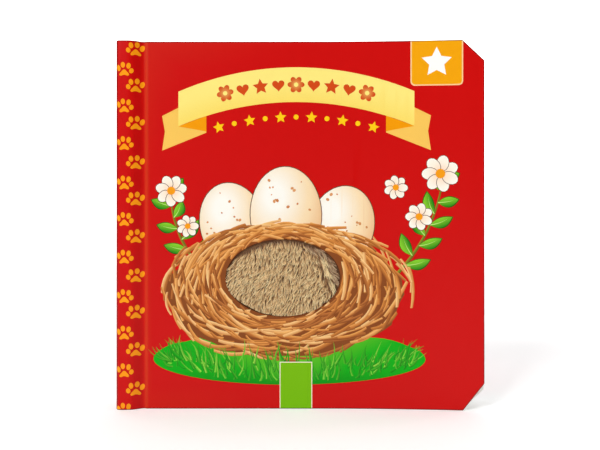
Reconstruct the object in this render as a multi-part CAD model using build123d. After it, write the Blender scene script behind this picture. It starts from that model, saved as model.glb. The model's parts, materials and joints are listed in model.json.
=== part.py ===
from build123d import *
import os

# Touch-and-feel board book, closed and standing on its tail edge.
# Millimetres. X runs from the spine to the fore edge, Y from the front cover to the back cover,
# Z up. The origin is the middle of the foot.

# Outside sizes
book_width = 175.0
book_height = 176.0
top_cut_across = 10.2  # the cut corner at the head of the fore edge
top_cut_down = 10.0
tail_cut_across = 9.9  # the cut corner at the tail of the fore edge
tail_cut_up = 13.0

# Boards and cards
board = 1.6  # the wrap: covers, flanges and spine
card = 1.2  # one printed card: a lining is one, a leaf is two glued back to back
leaf_count = 5
glue_line = 0.03  # layer of glue between two pieces

# Spine and creases
crease_inset = 15.0  # from the spine's face to the crease
crease_gap = 0.3  # width of the crease, where the wrap bends
ear_flat = 6.0  # level part of the flange beside the spine
ear_rise = 2.4  # how far the flange stands proud of the cover at the spine
ear_knee_radius = 16.0  # where the flange turns down to the crease
spine_corner_radius = 1.3
spine_glue = 2.0  # depth of the glue that joins the leaves at the spine
hinge_offset = 0.15  # the fold's axis lies just outside the cover's face

# How the leaves and the front cover stand off each other
leaf_slit = 0.12  # gap between leaves at the crease
leaf_spread = 0.65  # gap between leaves at the fore edge
bow_inset = 92.0  # the front cover is flat up to here, from the spine's face
bow_rise = 4.5  # how far its fore edge curls outwards
bow_share = 0.6  # each leaf curls this much of what the sheet before it does

# Oval window and plush patch
window_width = 54.2
window_height = 36.2
window_inset = 79.6  # centre of the window, from the spine's face
window_up = 62.8  # centre of the window, above the tail edge
patch_margin = 5.0  # backing that reaches past the window behind the board
patch_backing = 0.5
patch_play = 0.05  # room in front of and behind the backing
patch_clearance = 0.3  # round the pile and round the backing
pile_proud = 0.8
pile_crown = 0.7  # how much the pile falls off round its rim

# Places worked out from the sizes
spine_x = -book_width / 2
fore_x = book_width / 2
crease_x = spine_x + crease_inset
bow_x = spine_x + bow_inset
block_x = spine_x + board + glue_line
leaf = 2 * card
gap_count = leaf_count + 1

leaves_half = (leaf_count * leaf + gap_count * leaf_slit) / 2  # half of the leaves and their gaps
lining_face = leaves_half + card
board_inner = lining_face + glue_line
board_outer = board_inner + board
ear_outer = board_outer + ear_rise

fan_length = fore_x - crease_x
cover_fan = gap_count / 2 * (leaf_spread - leaf_slit)  # what each cover stands out at the fore edge
hinge_y = board_outer + hinge_offset


def outline(near_x):
    """The book seen from the front, from near_x to the fore edge, as a bar along Y."""
    corners = [
        (near_x, 0),
        (fore_x - tail_cut_across, 0),
        (fore_x, tail_cut_up),
        (fore_x, book_height - top_cut_down),
        (fore_x - top_cut_across, book_height),
        (near_x, book_height),
    ]
    face = make_face(Plane.XZ * Polyline(*corners, close=True))
    reach = ear_outer + cover_fan + bow_rise + board
    return extrude(face, amount=reach, both=True)


def course(start_x, level, fan, bow):
    """The line that a sheet follows, seen from above.

    It is level up to the crease, leans by fan over the rest, and curls by bow towards -Y."""
    slope = fan / fan_length
    at_bow = level + slope * (bow_x - crease_x)
    pieces = []
    if start_x < crease_x:
        pieces.append(Line((start_x, level), (crease_x, level)))
    pieces.append(Line((max(start_x, crease_x), level), (bow_x, at_bow)))
    end = (fore_x, level + fan - bow)
    if bow > 0:
        pieces.append(TangentArc((bow_x, at_bow), end, tangent=(1, slope)))
    else:
        pieces.append(Line((bow_x, at_bow), end))
    return pieces


def sheet(start_x, level, thickness, fan=0.0, bow=0.0):
    """A sheet as high as the book, from level to level + thickness at the crease."""
    low = course(start_x, level, fan, bow)
    high = [edge.translate((0, thickness, 0)) for edge in low]
    ends = [
        Line(low[0] @ 0, high[0] @ 0),
        Line(low[-1] @ 1, high[-1] @ 1),
    ]
    return extrude(make_face(low + high + ends), amount=book_height)


def front_sheet(inner, thickness):
    """A sheet of the front cover, whose inner face is inner away from the middle of the book."""
    return sheet(crease_x, -inner - thickness, thickness, -cover_fan, bow_rise)


def back_sheet(inner, thickness):
    return sheet(crease_x, inner, thickness, cover_fan)


def oval(width, height, forward):
    """The window's oval, at a distance forward of the middle of the book."""
    place = Plane(
        origin=(spine_x + window_inset, -forward, window_up), x_dir=(1, 0, 0), z_dir=(0, -1, 0)
    )
    return place * Ellipse(width / 2, height / 2)


def oval_bar(width, height, reach=board_outer + cover_fan + bow_rise):
    return extrude(oval(width, height, 0), amount=reach)


def page_block():
    """The leaves as a comb: joined at the spine, apart from there on, fanned at the fore edge."""
    spine = Pos(block_x, 0, 0) * Box(
        spine_glue, 2 * lining_face, book_height, align=(Align.MIN, Align.CENTER, Align.MIN)
    )
    strip_length = crease_x - crease_gap / 2 - block_x
    strips = [
        Pos(block_x, side * (lining_face - card / 2), 0)
        * Box(strip_length, card, book_height, align=(Align.MIN, Align.CENTER, Align.MIN))
        for side in (-1, 1)
    ]
    leaves = []
    for number in range(leaf_count):
        from_middle = number - (leaf_count - 1) / 2
        level = from_middle * (leaf + leaf_slit) - leaf / 2
        fan = from_middle * (leaf_spread - leaf_slit)
        bow = bow_rise * bow_share ** (number + 1)
        leaves.append(sheet(block_x, level, leaf, fan, bow))
    block = spine + strips + leaves
    return block & outline(block_x)


def spine_case():
    """The wrap board round the spine, with a flange on each side that ends at the crease."""
    flange_end = crease_x - crease_gap / 2
    front_outer = [
        (flange_end, -board_outer),
        (spine_x + ear_flat, -ear_outer),
        (spine_x, -ear_outer),
    ]
    front_inner = [
        (spine_x + board, -ear_outer + board),
        (spine_x + ear_flat, -ear_outer + board),
        (flange_end, -board_inner),
    ]
    back_outer = [(x, -y) for x, y in reversed(front_outer)]
    back_inner = [(x, -y) for x, y in reversed(front_inner)]
    section = make_face(Polyline(*front_outer, *back_outer, *back_inner, *front_inner, close=True))
    corners = section.vertices().group_by(Axis.X)[0]
    section = fillet(corners, spine_corner_radius)
    knees = section.vertices().filter_by(lambda vertex: abs(vertex.X - spine_x - ear_flat) < 0.001)
    section = fillet(knees, ear_knee_radius)
    return extrude(section, amount=book_height)


def cover_board(solid):
    """A cover panel cut to the book's outline."""
    return solid & outline(crease_x + crease_gap / 2)


def front_cover():
    """The front panel, with the oval window and a pocket behind it for the patch's backing."""
    panel = cover_board(front_sheet(board_inner, board))
    pocket_depth = patch_backing + 2 * patch_play
    pocket = front_sheet(board_inner, pocket_depth) & oval_bar(
        window_width + 2 * patch_margin, window_height + 2 * patch_margin
    )
    return panel - oval_bar(window_width, window_height) - pocket


def plush_patch():
    """Fabric backing in the pocket, and the pile that comes out through the window."""
    rim = patch_margin - patch_clearance
    backing = front_sheet(board_inner + patch_play, patch_backing) & oval_bar(
        window_width + 2 * rim, window_height + 2 * rim
    )
    width = window_width - 2 * patch_clearance
    height = window_height - 2 * patch_clearance
    root = board_inner + patch_play + patch_backing / 2
    top = board_outer + pile_proud
    at_window = cover_fan * (spine_x + window_inset - crease_x) / fan_length
    shoulder = top + at_window - pile_crown
    crown = loft([
        oval(width, height, shoulder),
        oval(width - 4 * pile_crown, height - 4 * pile_crown, shoulder + 2 * pile_crown),
    ])
    pile = front_sheet(root, top - root) & (oval_bar(width, height, shoulder) + crown)
    return backing + pile


def front_lining():
    return cover_board(front_sheet(leaves_half, card))


def back_cover():
    return cover_board(back_sheet(board_inner, board))


def back_lining():
    return cover_board(back_sheet(leaves_half, card))


def write(name, solid):
    solid = Part() + solid
    solids = solid.solids()
    if len(solids) != 1:
        raise ValueError(f"{name} is {len(solids)} solids")
    export_step(solids[0], f"parts/{name}.step")
    size = solids[0].bounding_box().size
    print(f"{name}: {size.X:.2f} x {size.Y:.2f} x {size.Z:.2f} mm")


os.makedirs("parts", exist_ok=True)
write("page_block", page_block())
write("spine_case", spine_case())
write("front_cover", front_cover())
write("plush_patch", plush_patch())
write("front_lining", front_lining())
write("back_cover", back_cover())
write("back_lining", back_lining())
print(f"front hinge at x {crease_x:.3f}, y {-hinge_y:.3f}; back hinge at y {hinge_y:.3f}")
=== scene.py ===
import json
import math
import random

import bmesh
import bpy
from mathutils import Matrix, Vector
from mathutils.geometry import delaunay_2d_cdt


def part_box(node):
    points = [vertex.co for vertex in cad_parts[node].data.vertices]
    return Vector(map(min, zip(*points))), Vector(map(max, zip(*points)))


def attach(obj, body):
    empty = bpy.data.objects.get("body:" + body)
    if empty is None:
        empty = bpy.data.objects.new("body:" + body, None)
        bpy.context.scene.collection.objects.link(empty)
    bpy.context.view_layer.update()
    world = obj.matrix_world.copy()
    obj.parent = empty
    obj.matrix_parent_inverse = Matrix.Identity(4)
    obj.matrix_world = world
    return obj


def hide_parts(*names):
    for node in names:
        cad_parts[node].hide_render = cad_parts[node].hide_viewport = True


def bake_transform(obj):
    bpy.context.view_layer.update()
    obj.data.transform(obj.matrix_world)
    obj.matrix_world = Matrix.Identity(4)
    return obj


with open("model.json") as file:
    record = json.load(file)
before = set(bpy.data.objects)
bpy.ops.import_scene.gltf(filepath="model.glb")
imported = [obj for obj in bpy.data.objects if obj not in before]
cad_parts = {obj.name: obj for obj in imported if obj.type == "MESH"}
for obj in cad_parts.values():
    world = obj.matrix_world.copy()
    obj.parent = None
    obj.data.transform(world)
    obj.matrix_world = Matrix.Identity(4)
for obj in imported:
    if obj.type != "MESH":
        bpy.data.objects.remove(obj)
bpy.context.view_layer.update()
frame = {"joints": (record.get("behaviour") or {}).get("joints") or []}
print("frame loaded")

# Everything below is laid out in millimetres and made a mesh in metres.
mm = 0.001
hinge = {joint["name"]: joint for joint in frame["joints"]}
spineLow, spineHigh = [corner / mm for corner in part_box("spine_case")]
coverLow, coverHigh = [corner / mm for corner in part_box("front_cover")]
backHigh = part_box("back_cover")[1] / mm
hingePlace = Vector(hinge["front_cover_hinge"]["pos_m"]) / mm

book = {
    "board": 1.6,  # thickness of the wrap
    "card": 1.2,  # a lining, and half of a leaf
    "leafCount": 5,
    "leafSlit": 0.12,
    "leafSpread": 0.65,
    "topCut": (10.2, 10.0),  # cut corners at the fore edge, across and along it
    "tailCut": (9.9, 13.0),
    "glueLine": 0.03,  # layer of glue between two pieces
    "hingeOffset": 0.15,  # the fold's axis lies this far outside the cover
    "bowInset": 92.0,  # where the front cover starts to curl, from the spine
    "bowShare": 0.6,  # each leaf curls this much of what the sheet before it does
    "cornerRadius": 1.9,  # of the spine
}

spineX = spineLow.x
foreX = coverHigh.x
bookHeight = coverHigh.z
creaseX = hingePlace.x
earOuter = spineHigh.y
boardOuter = abs(hingePlace.y) - book["hingeOffset"]
boardInner = boardOuter - book["board"]
bowX = spineX + book["bowInset"]
coverFan = backHigh.y - boardOuter
frontBow = -coverLow.y - boardOuter - coverFan
seamU = spineX - earOuter  # the middle of the spine, on the wrap laid out flat
fanSlope = coverFan / (foreX - creaseX)


def sheetLevel(x, level, fan, bow):
    # how far a sheet is from the middle of the book at x: it leans past the crease, then curls
    if x > creaseX:
        level += fan * (x - creaseX) / (foreX - creaseX)
    if x > bowX:
        level += bow * ((x - bowX) / (foreX - bowX)) ** 2
    return level


def easy(share):
    # 0 to 1 with a soft start and end
    return share * share * (3 - 2 * share)


# Colours

def ink(red, green, blue):
    # screen colour to scene colour
    def linear(value):
        value /= 255
        return value / 12.92 if value <= 0.04045 else ((value + 0.055) / 1.055) ** 2.4
    return (linear(red), linear(green), linear(blue))


def mixed(first, second, share):
    share = max(0.0, min(1.0, share))
    return tuple(a + (b - a) * share for a, b in zip(first, second))


black = (0.0, 0.0, 0.0)

# The print: a list of flat shapes, each over the ones before it

printColours = {
    "red": ink(205, 8, 6),
    "stretchedAndHighlit": ink(206, 48, 18),  # the red pulled thin over the groove, lightened there as a painted highlight
    "band": ink(255, 234, 128),
    "bandLow": ink(252, 222, 104),
    "tail": ink(250, 200, 92),
    "fold": ink(246, 156, 0),
    "brick": ink(212, 74, 22),
    "yellow": ink(255, 206, 20),
    "white": ink(255, 255, 250),
    "badge": ink(246, 166, 8),
    "cream": ink(255, 240, 214),
    "peach": ink(255, 208, 150),
    "plate": ink(120, 190, 0),
    "paw": ink(255, 160, 16),
    "grassDeep": ink(0, 96, 8),
    "grassDark": ink(0, 128, 12),
    "grass": ink(6, 176, 18),
    "grassLight": ink(142, 214, 48),
    "grassTip": ink(176, 238, 84),
    "leafEdge": ink(4, 70, 16),
    "petal": ink(255, 250, 236),
    "pollen": ink(248, 158, 20),
    "line": ink(92, 44, 20),
    "nestDark": ink(136, 72, 30),
    "eggShade": ink(226, 160, 96),
    "eggShell": ink(250, 222, 178),
    "eggLight": ink(255, 252, 242),
    "speckDark": ink(196, 118, 58),
    "speckPale": ink(228, 164, 104),
}


class Shape:
    def __init__(self, points, colour, detail=0.0):
        self.points = points
        self.colour = colour  # a colour, or a function that gives one for a point
        self.detail = detail  # spacing of the extra points that carry its shading

    def colourAt(self, point):
        return self.colour(point) if callable(self.colour) else self.colour


def ellipsePoints(centre, across, up, turn=0.0, count=20):
    cosine, sine = math.cos(turn), math.sin(turn)
    points = []
    for index in range(count):
        angle = 2 * math.pi * index / count
        x, y = across * math.cos(angle), up * math.sin(angle)
        points.append((centre[0] + x * cosine - y * sine, centre[1] + x * sine + y * cosine))
    return points


def directions(angle):
    # unit vectors along an angle and to its left
    along = (math.cos(angle), math.sin(angle))
    return along, (-along[1], along[0])


def strokePoints(start, angle, length, halfWidth, bulge, profile, steps=5):
    # a brush stroke: both sides of a bowed line whose width follows profile
    along, across = directions(angle)
    sides = ([], [])
    for step in range(steps + 1):
        share = step / steps
        offset = 4 * bulge * share * (1 - share)
        for side, sign in zip(sides, (1, -1)):
            aside = offset + sign * halfWidth * profile(share)
            side.append((
                start[0] + along[0] * length * share + across[0] * aside,
                start[1] + along[1] * length * share + across[1] * aside,
            ))
    return sides[0] + sides[1][::-1]


def strokeShape(start, angle, length, halfWidth, bulge, profile, low, high, steps=5):
    # low is the colour of its shaded side, high that of its lit side
    along, across = directions(angle)
    lit = 1 if across[1] - 0.5 * across[0] > 0 else -1

    def colour(point):
        dx, dz = point[0] - start[0], point[1] - start[1]
        share = (dx * along[0] + dz * along[1]) / length
        aside = dx * across[0] + dz * across[1] - 4 * bulge * share * (1 - share)
        return mixed(low, high, 0.5 + 0.5 * lit * aside / halfWidth)

    points = strokePoints(start, angle, length, halfWidth, bulge, profile, steps)
    return Shape(points, colour)


def twigProfile(share):
    return 0.75 + 0.25 * math.sin(math.pi * share)


def bladeProfile(share):
    return max(0.04, (1 - share) ** 0.8)


def leafProfile(share):
    return max(0.03, math.sin(math.pi * share) ** 0.85)


def stemProfile(share):
    return 1.15 - 0.7 * share


pawPrint = {
    # about 9 mm across: each toe's place, radii and turn, and the pad's outline
    "toes": (
        ((-3.2, -0.8), (1.05, 1.25), 0.3),
        ((-1.95, 1.5), (1.05, 1.45), 0.15),
        ((0.75, 1.95), (1.05, 1.4), -0.08),
        ((2.95, 0.45), (1.1, 1.55), -0.38),
    ),
    "pad": (
        (0.15, -0.15), (0.8, -0.45), (1.4, -1.2), (2.15, -1.95), (2.5, -2.7), (2.05, -3.2),
        (1.35, -3.15), (0.7, -2.85), (0.1, -2.75), (-0.5, -2.85), (-1.15, -3.15), (-1.85, -3.2),
        (-2.25, -2.7), (-1.9, -1.95), (-1.15, -1.2), (-0.55, -0.45),
    ),
    # each column's place across the laid-out wrap, and its kind: 1 is the lower, mirrored one
    "columns": ((-78.3, 0), (-83.3, 1), (-93.4, 0), (seamU, 1), (2 * seamU + 93.4, 0)),
    "backColumns": (
        (2 * seamU + 93.4, 0), (seamU, 1), (2 * seamU + 84.0, 1), (2 * seamU + 78.5, 0),
    ),
    "top": (172.1, 162.3),  # the highest paw of each kind
    "steps": (0.0, 17.4, 35.3),  # three paws, not quite evenly spaced
    "period": 54.05,
    "periods": 4,
    "lowest": -3.0,
}


def pawShapes(centre, mirror):
    shapes = []
    for place, radii, turn in pawPrint["toes"]:
        middle = (centre[0] + mirror * place[0], centre[1] + place[1])
        shapes.append(Shape(ellipsePoints(middle, *radii, mirror * turn, 12), printColours["paw"]))
    pad = [(centre[0] + mirror * x, centre[1] + z) for x, z in pawPrint["pad"]]
    shapes.append(Shape(pad, printColours["paw"]))
    return shapes


def pawColumn(across, kind):
    shapes = []
    for turn in range(pawPrint["periods"]):
        for step in pawPrint["steps"]:
            up = pawPrint["top"][kind] - turn * pawPrint["period"] - step
            if up > pawPrint["lowest"]:
                shapes += pawShapes((across, up), -1 if kind else 1)
    return shapes


ribbon = {
    "centre": -1.63,
    "halfSpan": 56.42,
    "endLow": 135.3,  # lower edge at the ends
    "rise": 11.7,
    "depth": 16.65,
    "steps": 24,
    "shading": 1.6,  # how soon its lower edge brightens
    "tailIn": 13.4,  # a tail comes out this far inside the band's end
    "tailOut": 7.8,  # and passes it this far
    "notch": 1.35,
    # a tail's corners over the band's lower corner, round from its top, and last the fold's foot
    "tailHeights": (8.9, 5.0, -2.5, -11.6, -3.0, -2.4),
}


def ribbonEdge(x):
    # the lower edge of the band, an arc
    half, rise = ribbon["halfSpan"], ribbon["rise"]
    radius = (half ** 2 + rise ** 2) / (2 * rise)
    aside = x - ribbon["centre"]
    return ribbon["endLow"] + rise - radius + math.sqrt(radius ** 2 - aside ** 2)


def ribbonShapes():
    centre, half, depth = ribbon["centre"], ribbon["halfSpan"], ribbon["depth"]
    shapes = []
    for side in (-1, 1):
        end = centre + side * half
        inner = end - side * ribbon["tailIn"]
        outer = end + side * ribbon["tailOut"]
        notch = outer - side * ribbon["notch"]
        low = ribbonEdge(end)
        heights = [low + up for up in ribbon["tailHeights"]]
        tail = list(zip((end, outer, notch, outer, inner, inner), heights)) + [(end, low)]
        shapes.append(Shape(tail, printColours["tail"]))
        fold = [(end, low), (inner, ribbonEdge(inner)), (inner, heights[-1])]
        shapes.append(Shape(fold, printColours["fold"]))
    steps = ribbon["steps"]
    across = [centre + half * (2 * step / steps - 1) for step in range(steps + 1)]
    low = [(x, ribbonEdge(x)) for x in across]
    high = [(x, z + depth) for x, z in reversed(low)]

    def bandColour(point):
        share = (point[1] - ribbonEdge(max(across[0], min(across[-1], point[0])))) / depth
        return mixed(printColours["bandLow"], printColours["band"], ribbon["shading"] * share)

    shapes.append(Shape(low + high, bandColour, 4.0))
    return shapes


def starPoints(centre, radius, turn=0.0, inner=0.48, points=5):
    places = []
    for index in range(2 * points):
        angle = turn + math.pi / 2 + math.pi * index / points
        reach = radius if index % 2 == 0 else radius * inner
        places.append((centre[0] + reach * math.cos(angle), centre[1] + reach * math.sin(angle)))
    return places


def heartPoints(centre, size, turn=0.0, count=22):
    places = []
    for index in range(count):
        angle = 2 * math.pi * index / count
        waves = [math.cos(times * angle) for times in (1, 2, 3, 4)]
        x = size * math.sin(angle) ** 3
        z = size * (13 * waves[0] - 5 * waves[1] - 2 * waves[2] - waves[3]) / 16
        places.append((
            centre[0] + x * math.cos(turn) - z * math.sin(turn),
            centre[1] + x * math.sin(turn) + z * math.cos(turn),
        ))
    return places


flower = {
    # shares of its radius
    "petalPlace": 0.58,
    "petalAcross": 0.44,
    "petalUp": 0.33,
    "heart": 0.27,
    "blush": 0.35,  # how much of the heart's colour is on the petals' inner ends
    "outline": 0.28,  # millimetres
}


def flowerShapes(centre, radius, petal, heart, petals=6, turn=0.0, outline=None):
    shapes = []
    place = flower["petalPlace"] * radius
    for index in range(petals):
        angle = turn + 2 * math.pi * index / petals
        middle = (centre[0] + place * math.cos(angle), centre[1] + place * math.sin(angle))
        across, up = flower["petalAcross"] * radius, flower["petalUp"] * radius
        if outline:
            border = flower["outline"]
            points = ellipsePoints(middle, across + border, up + border, angle, 14)
            shapes.append(Shape(points, outline))

        def colour(point, centre=centre):
            reach = math.hypot(point[0] - centre[0], point[1] - centre[1]) / radius
            return mixed(mixed(petal, heart, flower["blush"]), petal, 1.5 * reach - 0.3)

        shapes.append(Shape(ellipsePoints(middle, across, up, angle, 14), colour))
    size = flower["heart"] * radius
    shapes.append(Shape(ellipsePoints(centre, size, size, 0, 12), heart))
    return shapes


ornaments = {
    "count": 9,
    "step": 8.5,
    "flower": 4.025,  # radii
    "heart": 3.01,
    "star": 3.92,
    "lowerCount": 11,
    "lowerStep": 7.4,
    "lowerDrop": 7.2,
    "lowerStar": 2.9,
    "lowerDot": 1.218,
}


def arcTurn(x):
    # how far the band is turned at x
    return math.atan2(ribbonEdge(x + 0.5) - ribbonEdge(x - 0.5), 1.0)


def rowAcross(count, step):
    # places in a row that is centred on the ribbon
    return [ribbon["centre"] + (index - (count - 1) / 2) * step for index in range(count)]


def ornamentShapes():
    # rows of plain little shapes on the band and under it
    shapes = []
    brick, yellow = printColours["brick"], printColours["yellow"]
    for index, x in enumerate(rowAcross(ornaments["count"], ornaments["step"])):
        place = (x, ribbonEdge(x) + ribbon["depth"] / 2)
        if index % 4 == 0:
            band = printColours["band"]
            shapes += flowerShapes(place, ornaments["flower"], brick, band, 6, arcTurn(x))
        elif index % 2 == 1:
            shapes.append(Shape(heartPoints(place, ornaments["heart"], arcTurn(x)), brick))
        else:
            shapes.append(Shape(starPoints(place, ornaments["star"], arcTurn(x)), brick))
    for index, x in enumerate(rowAcross(ornaments["lowerCount"], ornaments["lowerStep"])):
        place = (x, ribbonEdge(x) - ornaments["lowerDrop"])
        if index % 2 == 0:
            shapes.append(Shape(starPoints(place, ornaments["lowerStar"], arcTurn(x)), yellow))
        else:
            dot = ornaments["lowerDot"]
            shapes.append(Shape(ellipsePoints(place, dot, dot, 0, 14), yellow))
    return shapes


badge = {
    "left": 52.95,
    "right": 77.6,
    "low": 154.45,
    "over": 2.0,  # it runs on past the head
    "radius": 2.0,
    "border": 0.6,
    "star": 7.4,
    "starLift": 0.3,
}
plate = {"left": -9.5, "right": 6.1, "low": -2.0, "high": 22.5, "border": 0.4}


def tabPoints(left, right, low, radius, high):
    # a tab that hangs from the top edge, with its two lower corners rounded
    points = [(right, high), (left, high)]
    for centreX, first in ((left + radius, math.pi), (right - radius, 1.5 * math.pi)):
        for step in range(5):
            angle = first + step * math.pi / 8
            x = centreX + radius * math.cos(angle)
            points.append((x, low + radius + radius * math.sin(angle)))
    return points


def badgeShapes():
    left, right, low, radius, border = (
        badge[key] for key in ("left", "right", "low", "radius", "border")
    )
    high = bookHeight + badge["over"]
    outer = tabPoints(left, right, low, radius, high)
    inner = tabPoints(left + border, right - border, low + border, radius - border * 0.7, high)
    middle = ((left + right) / 2, (low + bookHeight) / 2 + badge["starLift"])
    return [
        Shape(outer, printColours["peach"]),
        Shape(inner, printColours["badge"]),
        Shape(starPoints(middle, badge["star"], 0.0, 0.5), printColours["white"]),
    ]


def plateShapes():
    shapes = []
    for border, colour in ((0.0, "cream"), (plate["border"], "plate")):
        left, right, high = plate["left"] + border, plate["right"] - border, plate["high"] - border
        points = [(left, plate["low"]), (right, plate["low"]), (right, high), (left, high)]
        shapes.append(Shape(points, printColours[colour]))
    return shapes


window = {"centre": (-7.9, 62.8), "across": 27.1, "up": 18.1}
nest = {
    "centre": (-7.0, 55.0),
    "across": 61.0,
    "up": 33.0,
    "body": (0.925, 0.92),  # what lies under the twigs, as shares of the nest
    "twigs": 320,
    "twigTurns": 7.0,  # they are laid from the rim in to the window in this many turns
    "twigLength": (11, 22),
    "twigHalfWidth": (0.55, 0.95),
    "twigBow": (0.4, 2.2),
    "backTwigs": 26,
    "backTwigLength": (12, 20),
    "backTwigHalfWidth": (0.5, 0.8),
    "backTwigBow": (0.3, 1.4),
    # centre, radii and turn of each egg
    "eggs": (
        ((-32.0, 88.0), 15.5, 20.5, 0.24),
        ((20.0, 87.0), 15.5, 20.0, -0.26),
        ((-6.5, 93.0), 17.0, 23.0, 0.03),
    ),
    "eggOutline": 0.4,
    "specks": 20,  # on each egg
    "speckSize": (0.28, 0.75),
}
# the shaded and the lit side of each kind of twig
twigColours = [
    (ink(176, 92, 32), ink(240, 170, 88)),
    (ink(196, 112, 44), ink(250, 194, 116)),
    (ink(150, 76, 28), ink(220, 142, 66)),
    (ink(206, 126, 56), ink(255, 214, 146)),
    (ink(128, 64, 26), ink(198, 120, 56)),
]


def backTwigShapes(rng):
    # the far rim, seen between the eggs
    shapes = []
    cx, cz = nest["centre"]
    for _ in range(nest["backTwigs"]):
        angle = rng.uniform(0.25, math.pi - 0.25)
        start = (
            cx + 0.86 * nest["across"] * math.cos(angle), cz + 0.5 + nest["up"] * math.sin(angle),
        )
        turn = math.atan2(nest["up"] * math.cos(angle), -nest["across"] * math.sin(angle))
        low, high = rng.choice(twigColours[2:])
        shapes.append(strokeShape(
            start, turn + rng.uniform(-0.3, 0.3), rng.uniform(*nest["backTwigLength"]),
            rng.uniform(*nest["backTwigHalfWidth"]), -rng.uniform(*nest["backTwigBow"]),
            twigProfile, low, mixed(low, high, 0.6),
        ))
    return shapes


def eggShapes(rng):
    shapes = []
    border = nest["eggOutline"]
    for centre, across, up, turn in nest["eggs"]:
        points = ellipsePoints(centre, across + border, up + border, turn, 44)
        shapes.append(Shape(points, printColours["line"]))

        def eggColour(point, centre=centre, across=across, up=up):
            x, z = (point[0] - centre[0]) / across, (point[1] - centre[1]) / up
            lit = 1 - 0.75 * math.hypot(x + 0.32, z - 0.38)
            shade = mixed(printColours["eggShade"], printColours["eggShell"], 1.8 * lit + 0.55)
            return mixed(shade, printColours["eggLight"], 1.9 * lit - 0.55)

        shapes.append(Shape(ellipsePoints(centre, across, up, turn, 44), eggColour, 1.3))
        for _ in range(nest["specks"]):
            angle, reach = rng.uniform(0, 2 * math.pi), rng.uniform(0.1, 0.86)
            place = (
                centre[0] + across * reach * math.cos(angle),
                centre[1] + up * reach * math.sin(angle),
            )
            size = rng.uniform(*nest["speckSize"])
            spot = ellipsePoints(place, size * 1.25, size, rng.uniform(0, 3), 8)
            tone = mixed(printColours["speckDark"], printColours["speckPale"], rng.random())
            shapes.append(Shape(spot, tone))
    return shapes


def nestShapes(rng):
    shapes = backTwigShapes(rng) + eggShapes(rng)
    cx, cz = nest["centre"]
    bodyAcross, bodyUp = nest["body"]
    body = []
    for index in range(64):
        angle = 2 * math.pi * index / 64
        ragged = 1 + 0.02 * math.sin(9 * angle) + rng.uniform(-0.015, 0.015)
        body.append((
            cx + bodyAcross * nest["across"] * ragged * math.cos(angle),
            cz + bodyUp * nest["up"] * ragged * math.sin(angle),
        ))
    shapes.append(Shape(body, printColours["nestDark"]))
    for index in range(nest["twigs"]):
        angle = 2 * math.pi * (index + rng.random()) / nest["twigs"] * nest["twigTurns"]
        ring = 1 - 0.99 * (index / nest["twigs"]) ** 0.8  # 1 at the rim, 0 at the window
        across = window["across"] + 1.0 + (nest["across"] * 0.97 - window["across"]) * ring
        up = window["up"] + 1.0 + (nest["up"] * 0.97 - window["up"]) * ring
        middle = (
            window["centre"][0] + (cx - window["centre"][0]) * ring,
            window["centre"][1] + (cz - window["centre"][1]) * ring,
        )
        tangent = math.atan2(up * math.cos(angle), -across * math.sin(angle))
        turn = tangent + rng.uniform(-0.34, 0.34)
        length = rng.uniform(*nest["twigLength"])
        start = (
            middle[0] + across * math.cos(angle) - 0.5 * length * math.cos(turn),
            middle[1] + up * math.sin(angle) - 0.5 * length * math.sin(turn),
        )
        low, high = rng.choice(twigColours)
        shapes.append(strokeShape(
            start, turn, length, rng.uniform(*nest["twigHalfWidth"]),
            -rng.uniform(*nest["twigBow"]), twigProfile, low, high,
        ))
    return shapes


meadow = {
    "centre": (-5.0, 24.0),
    "across": 65.0,
    "up": 12.5,
    "tuft": 0.1,  # how far its upper edge bulges, as a share of "up"
    "blades": 240,
    "bladeLength": (5, 12),
    "bladeHalfWidth": (0.35, 0.75),
    "bladeBow": (-1.6, 1.6),
    "paleShare": 0.3,
}


def meadowShapes():
    cx, cz = meadow["centre"]
    points = []
    for index in range(72):
        angle = 2 * math.pi * index / 72
        tuft = 1 + (meadow["tuft"] * abs(math.sin(6.5 * angle)) if index < 36 else 0)
        up = meadow["up"] * tuft
        points.append((cx + meadow["across"] * math.cos(angle), cz + up * math.sin(angle)))

    def colour(point):
        # a lighter patch behind the nest, and a darker foot
        share = (point[1] - cz + meadow["up"]) / (2 * meadow["up"])
        aside = abs(point[0] - cx) / meadow["across"]
        pale = 0.85 * share - 1.1 * aside + 0.15
        base = mixed(printColours["grass"], printColours["grassLight"], pale)
        return mixed(printColours["grassDark"], base, 2.4 * share + 0.3)

    return [Shape(points, colour, 3.0)]


def bladeShapes(rng):
    cx, cz = meadow["centre"]
    shapes = []
    for _ in range(meadow["blades"]):
        angle = math.pi * (1 + rng.random())
        reach = rng.uniform(0.2, 0.9)
        start = (
            cx + meadow["across"] * 0.96 * math.cos(angle) * (0.75 + 0.25 * reach),
            cz + meadow["up"] * reach * math.sin(angle),
        )
        turn = math.pi / 2 - (start[0] - cx) / meadow["across"] * 0.6 + rng.uniform(-0.45, 0.45)
        pale = rng.random() < meadow["paleShare"]
        shaded = printColours["grass" if pale else "grassDark"]
        low = mixed(shaded, printColours["grassDeep"], 0.7 * rng.random())
        lightness = rng.uniform(0.4, 1) if pale else 0.25 * rng.random()
        high = mixed(printColours["grass"], printColours["grassTip"], lightness)
        shapes.append(strokeShape(
            start, turn, rng.uniform(*meadow["bladeLength"]),
            rng.uniform(*meadow["bladeHalfWidth"]), rng.uniform(*meadow["bladeBow"]),
            bladeProfile, low, high, 4,
        ))
    return shapes


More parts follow.
